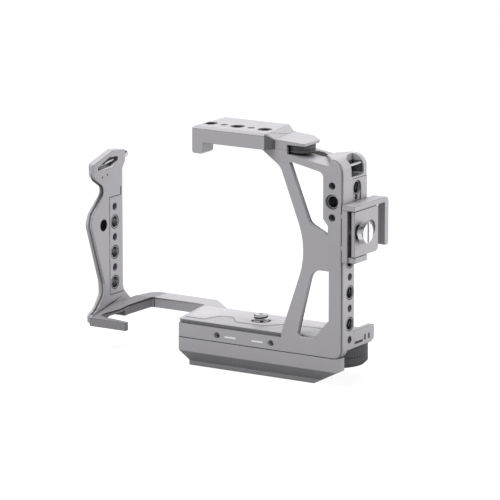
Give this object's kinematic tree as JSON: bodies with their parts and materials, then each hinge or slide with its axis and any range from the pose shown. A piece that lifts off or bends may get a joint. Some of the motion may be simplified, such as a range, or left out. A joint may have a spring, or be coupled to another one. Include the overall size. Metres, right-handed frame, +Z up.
{
  "type": "camera cage",
  "caption": "Metal cage for a mirrorless camera: dovetail base, lens-side column and brace, top plate, grip-side plate on a bent arm, thumb wheels and a cable clamp.",
  "frame": {"origin": "centre of the bounding box in plan, on the ground under the foot plate", "axes": "+X from the grip-side plate towards the column and the cable clamp; +Y from the lens side to the back, where the camera slides in; +Z up through the top plate"},
  "size_m": [0.1582, 0.0476, 0.1183],
  "materials": {
    "grey_metal": "bead-blasted, anodised titanium grey",
    "pale_metal": "bead-blasted, anodised light titanium grey",
    "dark_metal": "knurled, anodised dark grey",
    "steel": "turned stainless steel",
    "pad_rubber": "light grey rubber, fine grain"
  },
  "bodies": {
    "cage": {"foot_plate": "grey_metal", "base_block": "grey_metal", "seat_pad": "pad_rubber", "screw_collar": "steel", "foot_screws": "steel", "lock_stud": "steel", "side_tab": "pale_metal", "side_column": "pale_metal", "side_bushings": "steel", "front_bushing": "steel", "rear_block": "pale_metal", "rear_bushing": "steel", "lens_brace": "grey_metal", "shoulder_rail": "grey_metal", "strap_corner": "pale_metal", "strap_pin": "steel", "top_plate": "pale_metal", "top_bushings": "steel", "top_tongue": "pale_metal", "top_stud": "steel", "grip_arm": "pale_metal", "grip_ledge": "pale_metal", "grip_plate": "pale_metal", "grip_bushings": "steel", "grip_pin": "dark_metal", "clamp_body": "pale_metal", "clamp_hook": "pale_metal", "clamp_dowels": "steel"},
    "camera_screw": {"camera_screw": "steel"},
    "lock_wheel": {"lock_wheel": "dark_metal"},
    "top_wheel": {"top_wheel": "dark_metal"},
    "clamp_jaw": {"clamp_jaw": "pale_metal"},
    "clamp_screw": {"clamp_screw": "steel"}
  },
  "joints": [
    {"name": "camera_screw_turn", "type": "hinge", "parent": "cage", "child": "camera_screw", "pos_m": [0.0136, -0.00325, 0.021], "axis": [0, 0, 1], "continuous": true},
    {"name": "lock_wheel_turn", "type": "hinge", "parent": "cage", "child": "lock_wheel", "pos_m": [0.0511, 0.00325, 0.013], "axis": [0, 0, 1], "continuous": true},
    {"name": "top_wheel_turn", "type": "hinge", "parent": "cage", "child": "top_wheel", "pos_m": [0.04007, -0.01027, 0.111], "axis": [0, 0, 1], "continuous": true},
    {"name": "clamp_screw_turn", "type": "hinge", "parent": "cage", "child": "clamp_screw", "pos_m": [0.0736, -0.01464, 0.07546], "axis": [1, 0, 0], "continuous": true},
    {"name": "jaw_slide", "type": "slide", "parent": "cage", "child": "clamp_jaw", "axis": [0, 1, 0], "range_m": [-0.0095, 0]}
  ]
}
